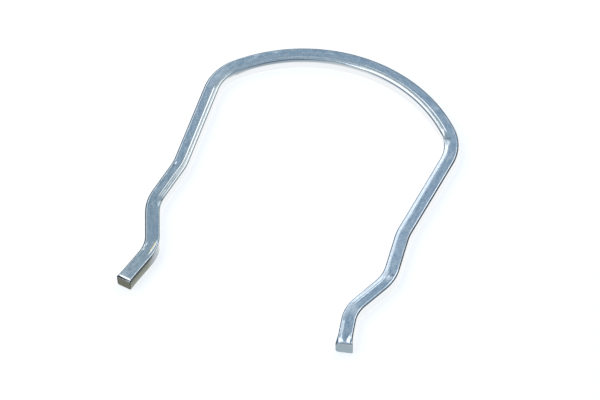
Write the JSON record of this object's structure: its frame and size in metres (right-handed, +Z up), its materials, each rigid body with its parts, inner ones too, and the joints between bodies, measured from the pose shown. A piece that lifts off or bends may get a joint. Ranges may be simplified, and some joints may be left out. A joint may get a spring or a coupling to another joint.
{
  "type": "retaining spring",
  "caption": "U-shaped retaining spring bent from square wire, with a round bow, sprung legs, inward catches and out-turned finger tabs.",
  "frame": {"origin": "centre of curvature of the bow, on the plane that the spring lies on", "axes": "+X towards the right leg, +Y from the open end towards the bow, +Z up from the face it lies on"},
  "size_m": [0.0536, 0.0674, 0.003],
  "materials": {
    "zinc_plated_wire": "bright zinc plate with a blue passivation, on drawn square spring steel wire"
  },
  "bodies": {
    "root": {"retaining_spring": "zinc_plated_wire"}
  },
  "joints": []
}
